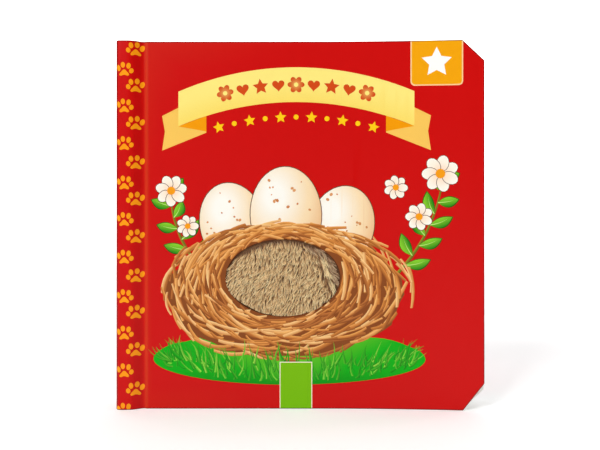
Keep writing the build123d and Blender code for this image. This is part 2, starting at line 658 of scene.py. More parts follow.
sprigs = [
    {
        "start": (44, 62),
        "turn": 1.12,
        "length": 56,
        "bulge": -5.0,
        "leaves": 9,
        "flowers": (((67.0, 112.5), 8.6), ((57.0, 92.0), 6.4), ((46.0, 106.0), 5.6)),
    },
    {
        "start": (-46, 66),
        "turn": 1.96,
        "length": 42,
        "bulge": 4.0,
        "leaves": 7,
        "flowers": (((-61.5, 104.5), 7.4), ((-53.6, 87.5), 5.2)),
    },
]
sprigLeaf = {
    "length": (10.5, 13.5),
    "halfWidth": 2.4,
    "outline": 0.35,
    "turn": (0.75, 1.1),  # from the stem
    "veinShare": 0.8,
    "veinHalfWidth": 0.22,
    "vein": (ink(186, 232, 110), ink(206, 240, 140)),
    "stem": (ink(86, 84, 18), ink(150, 150, 40)),
}


def leafShapes(foot, turn, length, bend):
    # an outline, the leaf on it, and its vein
    edge = printColours["leafEdge"]
    wide = sprigLeaf["halfWidth"]
    return [
        strokeShape(
            foot, turn, length + 0.5, wide + sprigLeaf["outline"], bend, leafProfile, edge, edge, 9,
        ),
        strokeShape(
            foot, turn, length, wide, bend, leafProfile, printColours["grassDark"],
            printColours["grassLight"], 9,
        ),
        strokeShape(
            foot, turn, length * sprigLeaf["veinShare"], sprigLeaf["veinHalfWidth"], bend * 0.64,
            bladeProfile, *sprigLeaf["vein"], 4,
        ),
    ]


def sprigShapes(rng):
    shapes = []
    for sprig in sprigs:
        start, turn, length, bulge = (sprig[key] for key in ("start", "turn", "length", "bulge"))
        shapes.append(strokeShape(
            start, turn, length, 0.75, bulge, stemProfile, *sprigLeaf["stem"], 12,
        ))
        along, across = directions(turn)
        for index in range(sprig["leaves"]):
            share = 0.16 + 0.8 * index / (sprig["leaves"] - 1)
            offset = 4 * bulge * share * (1 - share)
            foot = (
                start[0] + along[0] * length * share + across[0] * offset,
                start[1] + along[1] * length * share + across[1] * offset,
            )
            side = 1 if index % 2 else -1
            leafTurn = turn + side * rng.uniform(*sprigLeaf["turn"])
            leafLength = rng.uniform(*sprigLeaf["length"]) * (1.05 - 0.35 * share)
            shapes += leafShapes(foot, leafTurn, leafLength, side * rng.uniform(0.3, 1.1))
        for place, radius in sprig["flowers"]:
            shapes += flowerShapes(
                place, radius, printColours["petal"], printColours["pollen"], 7, rng.uniform(0, 1),
                printColours["line"],
            )
    return shapes


def frontPrint():
    rng = random.Random(11)
    shapes = meadowShapes() + sprigShapes(rng) + nestShapes(rng) + bladeShapes(rng)
    shapes += ribbonShapes() + ornamentShapes() + badgeShapes() + plateShapes()
    for across, kind in pawPrint["columns"]:
        shapes += pawColumn(across, kind)
    return shapes


def backPrint():
    # the paws run on round the spine and over the back flange, laid out from the other side
    shapes = []
    for across, kind in pawPrint["backColumns"]:
        for shape in pawColumn(across, kind):
            shape.points = [(2 * seamU - u, z) for u, z in shape.points]
            shapes.append(shape)
    return shapes


# The wrap board

wrap = {
    "turnIn": 0.6,  # how far the crushed edge reaches in from the cut
    # rings of points round the cut edge: how far in from it, and how deep under the face
    "edgeRings": ((0.32, 0.01), (0.16, 0.03), (0.05, 0.10), (0.0, 0.26), (0.0, 1.50), (0.06, 1.6)),
    "printedRings": 3,
    "edgeShade": 0.65,  # painted shade: how much darker the film over the crushed edge is made
    "cornerShadeReach": 1.3,  # reach of the same painted shade round the spine's corner
    "grooveInset": 13.0,  # the groove's bottom, from the spine's face
    "grooveDepth": 0.5,
    "grooveRight": 1.7,  # its width on the cover's side
    "highlitCreaseAt": 1.15,  # the painted highlight along the groove, where the ink is also pulled thin, is centred this far past its bottom
    "highlitCreaseReach": 1.7,
    "flangeInset": 4.5,  # the flange is level this far
    "flangeBelly": 1.5,  # over 1, it stays full and falls late
    "bendReach": 0.30,  # the stretch each side of the crease that is cut by lines of its own
    "smoothing": 42,  # degrees
    "core": ink(236, 231, 222),  # cut grey-white board
    "windowCore": ink(104, 72, 48),  # the same in the shade of the pile
}

grooveX = spineX + wrap["grooveInset"]
grooveEnd = grooveX + wrap["grooveRight"]
flangeEnd = spineX + wrap["flangeInset"]


def wrapLevel(x, bow):
    # the flange turns down to a groove, whose other side rises to the cover
    low = boardOuter - wrap["grooveDepth"]
    if x <= flangeEnd:
        return earOuter
    if x <= grooveX:
        share = ((x - flangeEnd) / (grooveX - flangeEnd)) ** wrap["flangeBelly"]
        return earOuter - (earOuter - low) * easy(share)
    if x <= grooveEnd:
        return low + wrap["grooveDepth"] * easy((x - grooveX) / wrap["grooveRight"])
    return sheetLevel(x, boardOuter, coverFan, bow)


def wrapPoint(u, z, depth, side):
    # a point of the wrap laid out flat, put where the folded wrap has it; side is -1 at the front
    radius = book["cornerRadius"]
    if u >= spineX + radius:
        x = u
        outer = wrapLevel(u, frontBow if side < 0 else 0)
        thickness = min(book["board"], outer - boardInner) if u < creaseX else book["board"]
        y = outer - depth / book["board"] * thickness
    elif u <= spineX - radius:
        x, y = spineX + depth, u - seamU
    else:
        turn = (u - spineX + radius) / (2 * radius) * math.pi / 2
        x = spineX + radius - (radius - depth) * math.cos(turn)
        y = earOuter - radius + (radius - depth) * math.sin(turn)
    return Vector((x, side * y, z)) * mm


def wrapOutline(inset):
    # corners of the flat wrap, anticlockwise, with every edge but the seam moved in
    topAcross, topDown = book["topCut"]
    tailAcross, tailUp = book["tailCut"]
    corners = [
        (seamU, 0), (foreX - tailAcross, 0), (foreX, tailUp), (foreX, bookHeight - topDown),
        (foreX - topAcross, bookHeight), (seamU, bookHeight),
    ]
    return [
        (x - outward[0] * inset, z - outward[1] * inset)
        for (x, z), outward in zip(corners, miters(corners))
    ]


def miters(loop):
    # for each corner of a loop, the way out that keeps its two edges parallel; none at the seam
    count = len(loop)
    normals = []
    for index in range(count):
        (x0, z0), (x1, z1) = loop[index], loop[(index + 1) % count]
        length = math.hypot(x1 - x0, z1 - z0)
        onSeam = abs(x0 - seamU) < 0.001 and abs(x1 - seamU) < 0.001
        normals.append((0.0, 0.0) if onSeam else ((z1 - z0) / length, (x0 - x1) / length))
    out = []
    for index in range(count):
        a, b = normals[index - 1], normals[index]
        if a == (0.0, 0.0) or b == (0.0, 0.0):
            out.append((a[0] + b[0], a[1] + b[1]))
            continue
        share = 1 + a[0] * b[0] + a[1] * b[1]
        out.append(((a[0] + b[0]) / share, (a[1] + b[1]) / share))
    return out


def bendLines(bowed):
    # where the flat wrap is creased or curved, so that its faces can follow
    radius = book["cornerRadius"]
    lines = [spineX - radius + 2 * radius * step / 6 for step in range(7)]
    lines += [flangeEnd + (grooveX - flangeEnd) * step / 10 for step in range(10)]
    lines += [grooveX + wrap["grooveRight"] * step / 6 for step in range(7)]
    lines += [creaseX + wrap["bendReach"] * (step / 6 - 1) for step in range(13)]
    if bowed:
        lines += [bowX + (foreX - bowX) * step / 16 for step in range(16)]
    return lines


def loopsOf(edges):
    # chains directed edges into closed loops
    following = dict(edges)
    loops = []
    while following:
        first, point = next(iter(following.items()))
        loop = [first]
        del following[first]
        while point != first:
            loop.append(point)
            point = following.pop(point)
        loops.append(loop)
    return loops


def shadingPoints(shape, rng):
    # loose points over a shape's box, to carry the shading of its colour
    xs, zs = zip(*shape.points)
    step = shape.detail
    places = []
    z = min(zs)
    while z < max(zs):
        x = min(xs)
        while x < max(xs):
            shifted = x + rng.uniform(-0.2, 0.2) * step
            places.append(Vector((shifted, z + rng.uniform(-0.2, 0.2) * step)))
            x += step
        z += step
    return places


def triangulate(shapes, lines, hole):
    # one flat sheet of triangles in which every shape of the print is cut out of the ones under it
    points, faces, edges = [], [], []
    rng = random.Random(3)

    def addLoop(loop):
        # a loop that runs clockwise would stand for all that is outside it
        area = sum(a[0] * b[1] - b[0] * a[1] for a, b in zip(loop, loop[1:] + loop[:1]))
        loop = loop if area > 0 else loop[::-1]
        first = len(points)
        points.extend(Vector(point) for point in loop)
        faces.append(list(range(first, first + len(loop))))

    for shape in shapes:
        addLoop(shape.points)
    if hole:
        addLoop(hole)
    for x in lines:
        first = len(points)
        points.extend((Vector((x, -3)), Vector((x, bookHeight + 3))))
        edges.append((first, first + 1))
    for shape in shapes:
        if shape.detail:
            points += shadingPoints(shape, rng)
    flat, _, triangles, _, _, parents = delaunay_2d_cdt(points, edges, faces, 1, 1e-4, True)
    holeIndex = len(shapes) if hole else -1
    kept, tops = [], []
    for triangle, owners in zip(triangles, parents):
        if 0 in owners and holeIndex not in owners:
            kept.append(tuple(triangle))
            tops.append(max(owners))
    return [tuple(point) for point in flat], kept, tops


def redAt(point):
    # paler along the groove, a painted highlight where the ink is also pulled thin, and darker
    # round the spine's corner, a painted shade
    aside = abs(point[0] - grooveX - wrap["highlitCreaseAt"])
    pale = max(0.0, 1 - aside / wrap["highlitCreaseReach"])
    paintedShade = max(0.0, 1 - abs(point[0] - spineX) / wrap["cornerShadeReach"])
    red = mixed(printColours["red"], printColours["stretchedAndHighlit"], easy(pale))
    return mixed(red, black, wrap["edgeShade"] * easy(paintedShade))


def makeWrapHalf(name, side, shapes):
    # a printed face, rings of faces round its edges, and the board's inner face
    hasWindow = side < 0
    turnIn = wrap["turnIn"]
    shapes = [Shape(wrapOutline(turnIn), redAt)] + shapes
    hole = None
    if hasWindow:
        across, up = window["across"] + turnIn, window["up"] + turnIn
        hole = ellipsePoints(window["centre"], across, up, 0, 96)
    flat, triangles, tops = triangulate(shapes, bendLines(hasWindow), hole)
    used = sorted(set(index for triangle in triangles for index in triangle))
    number = {old: new for new, old in enumerate(used)}
    flat = [flat[index] for index in used]
    triangles = [tuple(number[index] for index in triangle) for triangle in triangles]
    points = [wrapPoint(u, z, 0.0, side) for u, z in flat]
    faces, colours, slots, sheets = [], [], [], []
    for triangle, top in zip(triangles, tops):
        faces.append(triangle)
        colours.append([shapes[top].colourAt(flat[index]) for index in triangle])
        slots.append(0)
        sheets.append([flat[index] for index in triangle])
    # the boundary, in the direction that keeps the sheet on its left
    owner = {}
    for triangle, top in zip(triangles, tops):
        for a, b in zip(triangle, triangle[1:] + triangle[:1]):
            owner[(a, b)] = top
    rim = [(a, b) for a, b in owner if (b, a) not in owner]
    innerLoops = []
    for loop in loopsOf(rim):
        outward = miters([flat[index] for index in loop])
        onOutline = any(flat[index][0] > foreX - 1 for index in loop)
        core = wrap["core" if onOutline else "windowCore"]
        previous, laid = loop, [flat[index] for index in loop]
        for ringNumber, (inset, depth) in enumerate(wrap["edgeRings"]):
            out = turnIn - inset
            spread = out + depth  # laid out flat for its texture, the edge lies outside the face
            ring, ringLaid = [], []
            for index, way in zip(loop, outward):
                u, z = flat[index]
                ring.append(len(points))
                points.append(wrapPoint(u + way[0] * out, z + way[1] * out, depth, side))
                ringLaid.append((u + way[0] * spread, z + way[1] * spread))
            printed = ringNumber < wrap["printedRings"]
            # painted shade: the printed rings over the cut edge darken towards it
            nearShade = wrap["edgeShade"] if ringNumber else 0.0
            for i in range(len(loop)):
                j = (i + 1) % len(loop)
                faces.append((previous[j], previous[i], ring[i], ring[j]))
                sheets.append([laid[j], laid[i], ringLaid[i], ringLaid[j]])
                slots.append(0 if printed else 1)
                if not printed:
                    colours.append([core] * 4)
                    continue
                shape = shapes[owner[(loop[i], loop[j])]]
                colours.append([
                    mixed(shape.colourAt(flat[loop[corner]]), black, paintedShade)
                    for corner, paintedShade in (
                        (j, nearShade), (i, nearShade), (i, wrap["edgeShade"]), (j, wrap["edgeShade"]),
                    )
                ])
            previous, laid = ring, ringLaid
        last = turnIn - wrap["edgeRings"][-1][0]
        innerLoops.append([
            (corner, flat[index], (flat[index][0] + way[0] * last, flat[index][1] + way[1] * last))
            for corner, index, way in zip(ring, loop, outward)
        ])
    for face, places in innerFace(innerLoops):
        faces.append(face)
        colours.append([wrap["core"]] * 3)
        slots.append(1)
        sheets.append(places)
    return meshFromParts(name, points, faces, colours, slots, sheets, side)


def innerFace(loops):
    # the board's inner face, made on the points that its edge already has
    flat, numbers, edges, cutFrom = [], [], [], []
    for loop in loops:
        first = len(flat)
        for number, onFace, place in loop:
            cutFrom.append(onFace)
            flat.append(Vector(place))
            numbers.append(number)
        count = len(loop)
        edges += [(first + k, first + (k + 1) % count) for k in range(count)]
    for x in bendLines(len(loops) > 1):
        ends = [index for index, onFace in enumerate(cutFrom) if abs(onFace[0] - x) < 0.002]
        ends.sort(key=lambda index: cutFrom[index][1])
        edges += zip(ends[::2], ends[1::2])
    made, _, triangles, origins, _, _ = delaunay_2d_cdt(flat, edges, [], 0, 1e-6, True)
    outlines = [[place for _, _, place in loop] for loop in loops]
    found = []
    for triangle in triangles:
        middle = [sum(made[k][axis] for k in triangle) / 3 for axis in (0, 1)]
        if sum(inside(middle, outline) for outline in outlines) % 2:
            turned = list(triangle)[::-1]
            face = tuple(numbers[origins[k][0]] for k in turned)
            found.append((face, [(made[k].x, made[k].y, 1) for k in turned]))
    return found


def inside(point, loop):
    x, z = point
    found = False
    for (x0, z0), (x1, z1) in zip(loop, loop[1:] + loop[:1]):
        if (z0 > z) != (z1 > z) and x < x0 + (z - z0) * (x1 - x0) / (z1 - z0):
            found = not found
    return found


layout = {
    # where the laid-out wrap lies on its texture's square
    "margin": 2.5,
    "faceShare": 0.80,
    "innerLeft": 0.82,
    "innerShare": 0.17,
}


def texturePlace(place):
    # the printed face fills most of the square, and the inner face, marked by a 1, a strip
    span = foreX - seamU + 2 * layout["margin"]
    u = (place[0] - seamU + layout["margin"]) / span
    v = (place[1] + layout["margin"]) / span
    if len(place) == 3:
        return (layout["innerLeft"] + layout["innerShare"] * u, layout["innerShare"] * v)
    return (layout["faceShare"] * u, layout["faceShare"] * v)


def meshFromParts(name, points, faces, colours, slots, sheets, side):
    # colours and sheets hold an ink and a laid-out place for each corner of each face
    if side > 0:  # mirrored, so every face is turned round
        faces = [face[::-1] for face in faces]
        colours = [row[::-1] for row in colours]
        sheets = [row[::-1] for row in sheets]
    mesh = bpy.data.meshes.new(name)
    mesh.from_pydata([tuple(point) for point in points], [], faces)
    mesh.polygons.foreach_set("material_index", slots)
    colour = mesh.color_attributes.new("printInk", "FLOAT_COLOR", "CORNER")
    channels = [channel for row in colours for corner in row for channel in (*corner, 1.0)]
    colour.data.foreach_set("color", channels)
    texture = mesh.uv_layers.new(name="OFBake")
    places = [value for row in sheets for place in row for value in texturePlace(place)]
    texture.uv.foreach_set("vector", places)
    mesh.update()
    piece = linked(name, mesh)
    smoothByAngle(piece, wrap["smoothing"])
    return piece


def linked(name, content):
    thing = bpy.data.objects.new(name, content)
    bpy.context.scene.collection.objects.link(thing)
    return thing


def pick(pieces):
    # select these alone, the first one active
    bpy.ops.object.select_all(action="DESELECT")
    for piece in pieces:
        piece.select_set(True)
    bpy.context.view_layer.objects.active = pieces[0]


def smoothByAngle(piece, degrees):
    pick([piece])
    bpy.ops.object.shade_smooth_by_angle(angle=math.radians(degrees))


# Materials

def newMaterial(name, **settings):
    material = bpy.data.materials.new(name)
    material.use_nodes = True
    shader = material.node_tree.nodes["Principled BSDF"]
    for socket, value in settings.items():
        shader.inputs[socket.replace("_", " ")].default_value = value
    return material, material.node_tree.nodes, material.node_tree.links, shader


def addNode(nodes, kind, **inputs):
    node = nodes.new(kind)
    for socket, value in inputs.items():
        node.inputs[socket.replace("_", " ")].default_value = value
    return node


def noiseBump(nodes, links, shader, coordinates, scale, strength, distance=0.0002):
    noise = addNode(nodes, "ShaderNodeTexNoise", Scale=scale, Detail=3.0)
    links.new(coordinates, noise.inputs["Vector"])
    bumpFrom(nodes, links, shader, noise.outputs["Fac"], strength, distance)


def bumpFrom(nodes, links, shader, height, strength, distance):
    bump = addNode(nodes, "ShaderNodeBump", Strength=strength, Distance=distance)
    links.new(height, bump.inputs["Height"])
    links.new(bump.outputs["Normal"], shader.inputs["Normal"])


def colourRamp(nodes, links, factor, colours, places=(0.0, 1.0)):
    # a colour that runs from the first to the second as the factor grows
    ramp = nodes.new("ShaderNodeValToRGB")
    for element, colour, place in zip(ramp.color_ramp.elements, colours, places):
        element.color = (*colour, 1)
        element.position = place
    links.new(factor, ramp.inputs["Fac"])
    return ramp.outputs["Color"]


def varied(nodes, links, colour, coordinates, scale, low, high):
    # a colour made a little darker and lighter in patches
    noise = addNode(nodes, "ShaderNodeTexNoise", Scale=scale, Detail=4.0)
    links.new(coordinates, noise.inputs["Vector"])
    spread = addNode(nodes, "ShaderNodeMapRange", To_Min=low, To_Max=high)
    links.new(noise.outputs["Fac"], spread.inputs["Value"])
    hue = addNode(nodes, "ShaderNodeHueSaturation")
    links.new(spread.outputs["Result"], hue.inputs["Value"])
    links.new(colour, hue.inputs["Color"])
    return hue.outputs["Color"]


def wrapInputs(nodes):
    # the wrap's ink and its laid-out places
    printed = nodes.new("ShaderNodeVertexColor")
    printed.layer_name = "printInk"
    place = nodes.new("ShaderNodeUVMap")
    place.uv_map = "OFBake"
    return printed.outputs["Color"], place.outputs["UV"]


# scales count over the laid-out wrap, and mottle is the range of brightness
laminate = {
    "roughness": 0.36,
    "coat": 0.03,
    "coatRoughness": 0.25,
    "specular": 0.13,
    "mottle": (0.965, 1.03),
    "mottleScale": 420.0,
    "bumpScale": 260.0,
    "bump": 0.12,
}
cutBoard = {"roughness": 0.85, "mottle": (0.7, 1.12), "scale": 900.0, "bump": 0.35}


def laminateMaterial():
    # ink under a satin film: the colour comes from the printed shapes
    material, nodes, links, shader = newMaterial(
        "satin_laminate", Roughness=laminate["roughness"], Coat_Weight=laminate["coat"],
        Coat_Roughness=laminate["coatRoughness"], Specular_IOR_Level=laminate["specular"],
    )
    printed, place = wrapInputs(nodes)
    colour = varied(nodes, links, printed, place, laminate["mottleScale"], *laminate["mottle"])
    links.new(colour, shader.inputs["Base Color"])
    noiseBump(nodes, links, shader, place, laminate["bumpScale"], laminate["bump"])
    return material


def boardMaterial():
    # the cut edge of grey-white board, mottled by its fibres
    material, nodes, links, shader = newMaterial("cut_board", Roughness=cutBoard["roughness"])
    core, place = wrapInputs(nodes)
    colour = varied(nodes, links, core, place, cutBoard["scale"], *cutBoard["mottle"])
    links.new(colour, shader.inputs["Base Color"])
    noiseBump(nodes, links, shader, place, cutBoard["scale"], cutBoard["bump"])
    return material


wrapMaterials = [laminateMaterial(), boardMaterial()]

frontWrap = makeWrapHalf("printed_front_wrap", -1, frontPrint())
backWrap = makeWrapHalf("printed_back_wrap", 1, backPrint())
for piece in (frontWrap, backWrap):
    for material in wrapMaterials:
        piece.data.materials.append(material)
    print(piece.name, len(piece.data.polygons), "faces")
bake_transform(frontWrap)
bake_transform(backWrap)
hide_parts("front_cover", "spine_case")
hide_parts("back_cover")
print("wrap made")


# Linings and leaves: card sheets with a soft die-cut edge

cards = {
    "edgeRound": 0.22,
    "smoothing": 35,
    "glueInset": 0.2,
    "glueDepth": 2.0,  # the leaves are glued together this far in from the spine
    "glueRecess": 0.35,  # at head and tail
    "bowSteps": 14,
    "liningFolds": 13,  # lines across the stretch each side of the crease
    "leafFolds": 1,
    "face": (ink(240, 237, 230), ink(248, 246, 241)),
    "edge": (ink(212, 202, 188), ink(248, 244, 236)),
    "edgeFibres": (0.22, 0.58),
    "seam": (ink(140, 124, 104), (1, 1, 1)),  # where a leaf's two halves are glued
    "seamReach": (0.02, 0.09),  # as a share of half its thickness
}
cardLevel = boardInner - book["glueLine"]  # the outer face of a lining
cardNear = spineX + book["board"] + book["glueLine"]
leafThick = 2 * book["card"]
leafPitch = leafThick + book["leafSlit"]


def startBox(name, low, high):
    bpy.ops.object.select_all(action="DESELECT")
    bpy.ops.mesh.primitive_cube_add(size=1, location=[(a + b) / 2 * mm for a, b in zip(low, high)])
    piece = bpy.context.object
    piece.name = piece.data.name = name
    piece.scale = [(b - a) * mm for a, b in zip(low, high)]
    bpy.ops.object.transform_apply(location=True, rotation=True, scale=True)
    return piece


def cutThrough(place, normal, trim):
    bpy.ops.mesh.select_all(action="SELECT")
    bpy.ops.mesh.bisect(
        plane_co=Vector(place) * mm, plane_no=normal, use_fill=trim, clear_outer=trim,
        threshold=1e-6,
    )


def selectRimEdges(piece):
    # the edges between a sheet's broad faces and its cut edge
    form = bmesh.from_edit_mesh(piece.data)
    for edge in form.edges:
        tilts = sorted(abs(face.normal.y) for face in edge.link_faces)
        edge.select_set(len(tilts) == 2 and tilts[0] < 0.5 and tilts[1] > 0.8)
    bmesh.update_edit_mesh(piece.data)


def makeCard(name, startX, nearLevel, farLevel, fan, bow, foldLines):
    # nearLevel and farLevel are its two faces at the spine; fan and bow tip its fore edge
    piece = startBox(name, (startX, nearLevel, 0), (foreX, farLevel, bookHeight))
    bpy.ops.object.mode_set(mode="EDIT")
    bpy.ops.mesh.select_mode(type="FACE")
    topAcross, topDown = book["topCut"]
    tailAcross, tailUp = book["tailCut"]
    cutThrough((foreX - topAcross, 0, bookHeight), (topDown, 0, topAcross), True)
    cutThrough((foreX - tailAcross, 0, 0), (tailUp, 0, -tailAcross), True)
    for step in range(cards["bowSteps"]):
        cutThrough((bowX + (foreX - bowX) * step / cards["bowSteps"], 0, 0), (1, 0, 0), False)
    for step in range(foldLines):
        share = step / (foldLines - 1) if foldLines > 1 else 0.5
        cutThrough((creaseX + wrap["bendReach"] * (2 * share - 1), 0, 0), (1, 0, 0), False)
    bpy.ops.mesh.select_mode(type="EDGE")
    selectRimEdges(piece)
    bpy.ops.mesh.bevel(offset=cards["edgeRound"] * mm, segments=2, affect="EDGES")
    bpy.ops.object.mode_set(mode="OBJECT")
    across = piece.data.attributes.new("acrossCard", "FLOAT", "POINT")
    middle, half = (nearLevel + farLevel) / 2, (farLevel - nearLevel) / 2
    for vertex, value in zip(piece.data.vertices, across.data):
        value.value = (vertex.co.y / mm - middle) / half
        vertex.co.y += sheetLevel(vertex.co.x / mm, 0.0, fan, -bow) * mm
    return piece


def finishCard(piece, materials):
    for material in materials:
        piece.data.materials.append(material)
    for face in piece.data.polygons:
        face.material_index = 1 if abs(face.normal.y) < 0.3 else 0
    rest = piece.data.attributes.new("restPlace", "FLOAT_VECTOR", "POINT")
    places = [value for vertex in piece.data.vertices for value in vertex.co]
    rest.data.foreach_set("vector", places)
    smoothByAngle(piece, cards["smoothing"])


def attributeOf(nodes, name, socket):
    node = nodes.new("ShaderNodeAttribute")
    node.attribute_name = name
    return node.outputs[socket]


def fibreColour(nodes, links, place, scale, colours, places=(0.0, 1.0)):
    noise = addNode(nodes, "ShaderNodeTexNoise", Scale=scale, Detail=5.0)
    links.new(place, noise.inputs["Vector"])
    return colourRamp(nodes, links, noise.outputs["Fac"], colours, places)


def cardFaceMaterial():
    # bare white coated card, a little warm and faintly mottled
    material, nodes, links, shader = newMaterial("white_card", Roughness=0.38, Coat_Weight=0.15)
    place = attributeOf(nodes, "restPlace", "Vector")
    colour = fibreColour(nodes, links, place, 700.0, cards["face"])
    links.new(colour, shader.inputs["Base Color"])
    noiseBump(nodes, links, shader, place, scale=1500.0, strength=0.08, distance=0.0001)
    return material


def cardEdgeMaterial():
    # die-cut card: mottled by its fibres, with the line where its two halves are glued
    material, nodes, links, shader = newMaterial("cut_card", Roughness=0.85)
    place = attributeOf(nodes, "restPlace", "Vector")
    fibre = fibreColour(nodes, links, place, 1100.0, cards["edge"], cards["edgeFibres"])
    aside = addNode(nodes, "ShaderNodeMath")
    aside.operation = "ABSOLUTE"
    links.new(attributeOf(nodes, "acrossCard", "Fac"), aside.inputs[0])
    seam = colourRamp(nodes, links, aside.outputs["Value"], cards["seam"], cards["seamReach"])
    blend = nodes.new("ShaderNodeMix")
    blend.data_type = "RGBA"
    blend.blend_type = "MULTIPLY"
    blend.inputs[0].default_value = 1.0  # a mix node's sockets 6 and 7 are its two colours
    links.new(fibre, blend.inputs[6])
    links.new(seam, blend.inputs[7])
    links.new(blend.outputs[2], shader.inputs["Base Color"])
    noiseBump(nodes, links, shader, place, scale=2400.0, strength=0.4)
    return material


cardMaterials = [cardFaceMaterial(), cardEdgeMaterial()]

liningFar = leafPitch * book["leafCount"] / 2 + book["leafSlit"] / 2  # a lining's inner face
folds = cards["liningFolds"]
frontLining = makeCard(
    "front_lining_card", cardNear, -cardLevel, -liningFar, -coverFan, frontBow, folds
)
backLining = makeCard("back_lining_card", cardNear, liningFar, cardLevel, coverFan, 0.0, folds)
for piece, cover, node in (
    (frontLining, "front_cover", "front_lining"), (backLining, "back_cover", "back_lining"),
):
    finishCard(piece, cardMaterials)
    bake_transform(piece)
    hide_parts(node)
print("linings made")

leaves = []
for number in range(book["leafCount"]):
    place = number - (book["leafCount"] - 1) / 2
    fan = place * (book["leafSpread"] - book["leafSlit"])
    bow = frontBow * book["bowShare"] ** (number + 1)
    near, far = place * leafPitch - leafThick / 2, place * leafPitch + leafThick / 2
    leaves.append(makeCard("leaf_card", cardNear, near, far, fan, bow, cards["leafFolds"]))
for number in range(book["leafCount"] + 1):
    # glue between the sheets, beside the spine
    level = (number - book["leafCount"] / 2) * leafPitch
    half = book["leafSlit"] / 2
    strip = startBox(
        "glue_strip", (cardNear + cards["glueInset"], level - half, cards["glueRecess"]),
        (cardNear + cards["glueDepth"], level + half, bookHeight - cards["glueRecess"]),
    )
    strip.data.attributes.new("acrossCard", "FLOAT", "POINT")
    leaves.append(strip)
pick(leaves)
bpy.ops.object.join()
pageBlock = leaves[0]
pageBlock.name = pageBlock.data.name = "page_leaves"
finishCard(pageBlock, cardMaterials)
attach(pageBlock, "book_block")
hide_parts("page_block")
print("leaves made")


# Plush patch: a knitted backing with tufts of pile that lean along the nap

plush = {
    "spacing": 0.86,  # between tufts
    "strands": 3,
    "length": (2.7, 4.2),
    "halfWidth": 0.15,
    "proud": 1.0,  # how far the pile stands above the cover
    "gather": 0.45,  # how far a tuft's tips are drawn together
    "rimOverlap": 0.5,  # how far the tips reach over the window's edge
    "jitter": 0.45,  # of a tuft's place, as a share of the spacing
    "lean": 0.24,  # how far tufts lean apart, in radians
    "stray": 0.22,  # how far the tips wander aside
    "brightness": 0.33,  # how much tufts differ
    "rootDepth": 0.75,  # under the cover's face
    "widths": (1.0, 1.0, 0.85, 0.6, 0.12),  # of a strand, from root to tip
    "crownDrop": 0.35,  # how much lower the pile is at the rim
    "backingMargin": 4.7,  # reaches this far behind the board, all round
    "backingThick": 0.45,
    "backingDepth": 1.05,
    "swellInset": 0.6,
    # the ground swells up into the window: how far in each ring lies, and how much higher
    "swell": ((0.5, 0.2), (1.2, 0.24), (2.4, 0.14), (4.0, 0.06), (5.0, 0.02)),
}
furColours = {
    # darker at the root: painted shade between the tufts
    "root": ink(146, 98, 58),
    "body": ink(238, 190, 128),
    "tip": ink(255, 236, 184),
    "grey": ink(176, 144, 118),
    # the knitted ground, dark as painted shade under the pile
    "ground": (ink(132, 92, 56), ink(84, 54, 32)),
}


def coverFace(x):
    # the outer face of the front cover at x
    return -sheetLevel(x, boardOuter, coverFan, frontBow)


def makeBacking():
    cx, cz = window["centre"]
    margin = plush["backingMargin"]
    bpy.ops.object.select_all(action="DESELECT")
    bpy.ops.mesh.primitive_circle_add(vertices=96, radius=1, fill_type="NGON")
    piece = bpy.context.object
    piece.name = piece.data.name = "plush_backing"
    piece.rotation_euler = (math.radians(90), 0, 0)
    piece.scale = ((window["across"] + margin) * mm, (window["up"] + margin) * mm, 1)
    piece.location = (cx * mm, (coverFace(cx) + plush["backingDepth"]) * mm, cz * mm)
    bpy.ops.object.transform_apply(location=True, rotation=True, scale=True)
    bpy.ops.object.mode_set(mode="EDIT")
    bpy.ops.mesh.select_mode(type="FACE")
    bpy.ops.mesh.select_all(action="SELECT")
    bpy.ops.mesh.inset(thickness=(margin + plush["swellInset"]) * mm)
    for inset, lift in plush["swell"]:
        bpy.ops.mesh.inset(thickness=inset * mm)
        bpy.ops.transform.translate(value=(0, -lift * mm, 0))
    bpy.ops.mesh.poke()
    bpy.ops.mesh.select_all(action="SELECT")
    bpy.ops.mesh.normals_make_consistent(inside=False)
    bpy.ops.object.mode_set(mode="OBJECT")
    shell = piece.modifiers.new("thickness", "SOLIDIFY")
    shell.thickness = plush["backingThick"] * mm
    shell.offset = 1.0
    bpy.ops.object.modifier_apply(modifier=shell.name)
    for vertex in piece.data.vertices:  # the cover leans and curls, and the cloth follows it
        vertex.co.y += (coverFace(vertex.co.x / mm) - coverFace(cx)) * mm
    bpy.ops.object.shade_smooth()
    return piece


# how the pile lies, in places given from the window's centre
nap = {
    "angle": -114,  # the way it leans, in degrees: most of it, then in the roll and beyond that
    "rollAngle": -68,
    "beyondAngle": -48,
    # the nap divides along this line, from its foot up
    "parting": ((24.1, -6.0), (20.3, 0.1), (18.2, 8.1), (17.1, 11.0), (9.7, 15.5)),
    "upperParting": 11.0,  # above this it is a plain edge
    "noParting": -9.0,
    "rollWidth": 2.4,  # a roll of pile, lightened by a painted highlight, lies to the right of the parting
    "rollLength": 1.35,  # its pile is this much longer
    "rollLean": 0.1,  # and leans apart less
    "rollBreak": (0.4, 3.2),  # between these heights its pile is half as long
    "creaseBare": 0.7,  # the share of tufts that a crease lacks
    # short creases, darkened by painted shade, with a painted highlight on their right: both ends,
    # and how wide
    "creases": (
        ((-12.2, 16.0), (-2.2, 13.0), 0.75),
        ((-13.4, -5.6), (-11.6, -13.6), 0.7),
        ((-1.0, 1.6), (1.2, -1.8), 0.55),
        ((20.4, 1.0), (23.4, -0.8), 0.75),
    ),
    # where the pile stands off the board's edge: direction, spread, and how far
    "rimGaps": ((2.45, 0.55, 0.85), (3.85, 0.45, 0.8), (0.15, 0.5, 0.45), (4.35, 0.2, 0.4)),
    "leastGap": 0.25,
}


